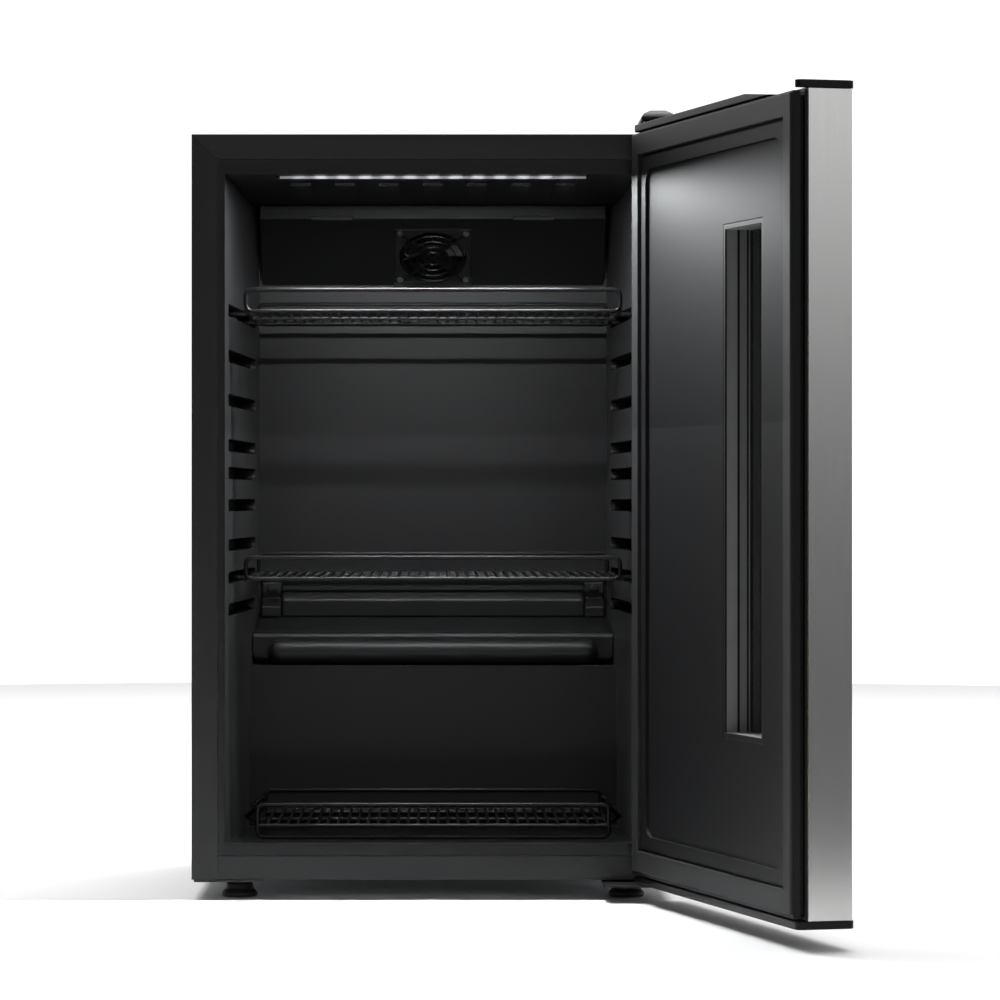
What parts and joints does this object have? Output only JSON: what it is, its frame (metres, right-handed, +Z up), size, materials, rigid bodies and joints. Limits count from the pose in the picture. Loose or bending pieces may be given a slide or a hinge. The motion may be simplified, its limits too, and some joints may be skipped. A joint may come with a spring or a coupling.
{
  "type": "mini fridge",
  "caption": "Free-standing compact fridge with an open stainless door, narrow window, wire shelves, fan panel, light strip and levelling feet.",
  "frame": {"origin": "middle of the base of the whole object's box at rest, with the door open, on the floor", "axes": "+Z up; the cabinet's front and the open doorway face -Y; +X is towards the hinge side"},
  "size_m": [0.6116, 0.9327, 0.7822],
  "materials": {
    "black_steel": "satin",
    "black_plastic": "satin",
    "gasket": "matte",
    "stainless": "satin",
    "zinc_steel": "satin",
    "black_wire": "gloss",
    "insulation": "matte",
    "smoked_glass": "polished",
    "light": "matte",
    "foot_rubber": "matte"
  },
  "bodies": {
    "cabinet": {"outer_shell": "black_steel", "inner_liner": "black_plastic", "insulation_foam": "insulation", "bottom_pan": "black_steel", "front_rail": "black_steel", "back_panel": "black_steel", "lower_hinge": "zinc_steel", "upper_hinge": "zinc_steel", "hinge_cover": "black_plastic", "base_plate": "black_steel", "light_diffuser": "light", "light_housing": "black_plastic", "air_panel": "black_plastic", "fan_bracket": "black_steel", "finger_guard": "black_wire", "fan_housing": "black_plastic", "bracket_screw_1": "zinc_steel", "bracket_screw_2": "zinc_steel", "bracket_screw_3": "zinc_steel", "bracket_screw_4": "zinc_steel", "rear_ledge": "black_plastic", "coil_cover": "black_plastic", "side_block_left": "black_plastic", "side_block_right": "black_plastic", "screw_cap_left": "black_plastic", "screw_cap_right": "black_plastic", "drip_trough": "black_plastic", "compressor": "black_steel", "terminal_box": "black_plastic", "power_inlet": "black_plastic", "condenser_coil": "black_steel"},
    "door": {"door_skin": "stainless", "door_foam": "insulation", "door_panel": "black_plastic", "door_gasket": "gasket", "top_cap": "black_plastic", "bottom_cap": "black_plastic", "glazing_frame": "black_plastic", "outer_glass": "smoked_glass", "inner_glass": "smoked_glass", "lower_bush": "black_plastic", "upper_bush": "black_plastic"},
    "top_shelf": {"top_shelf": "black_wire"},
    "middle_shelf": {"middle_shelf": "black_wire"},
    "bottom_rack": {"bottom_rack": "black_wire"},
    "fan_rotor": {"fan_rotor": "black_plastic"},
    "foot_1": {"foot_1": "foot_rubber"},
    "foot_2": {"foot_2": "foot_rubber"},
    "foot_3": {"foot_3": "foot_rubber"},
    "foot_4": {"foot_4": "foot_rubber"}
  },
  "joints": [
    {"name": "door_hinge", "type": "hinge", "parent": "cabinet", "child": "door", "pos_m": [0.15644, -0.01489, 0], "axis": [0, 0, 1], "range_deg": [-104.8, 5]},
    {"name": "top_shelf_slide", "type": "slide", "parent": "cabinet", "child": "top_shelf", "axis": [0, -1, 0], "range_m": [0, 0.08]},
    {"name": "middle_shelf_slide", "type": "slide", "parent": "cabinet", "child": "middle_shelf", "axis": [0, -1, 0], "range_m": [0, 0.08]},
    {"name": "bottom_rack_slide", "type": "slide", "parent": "cabinet", "child": "bottom_rack", "axis": [0, -1, 0], "range_m": [0, 0.15]},
    {"name": "fan_spin", "type": "hinge", "parent": "cabinet", "child": "fan_rotor", "pos_m": [-0.06656, 0.37559, 0.66074], "axis": [0, 0.6921, 0.7218], "continuous": true},
    {"name": "foot_1_screw", "type": "hinge", "parent": "cabinet", "child": "foot_1", "pos_m": [-0.26056, 0.05411, 0], "axis": [0, 0, 1], "range_deg": [-1080, 0]},
    {"name": "foot_2_screw", "type": "hinge", "parent": "cabinet", "child": "foot_2", "pos_m": [0.12744, 0.05411, 0], "axis": [0, 0, 1], "range_deg": [-1080, 0]},
    {"name": "foot_3_screw", "type": "hinge", "parent": "cabinet", "child": "foot_3", "pos_m": [-0.26056, 0.41011, 0], "axis": [0, 0, 1], "range_deg": [-1080, 0]},
    {"name": "foot_4_screw", "type": "hinge", "parent": "cabinet", "child": "foot_4", "pos_m": [0.12744, 0.41011, 0], "axis": [0, 0, 1], "range_deg": [-1080, 0]}
  ]
}
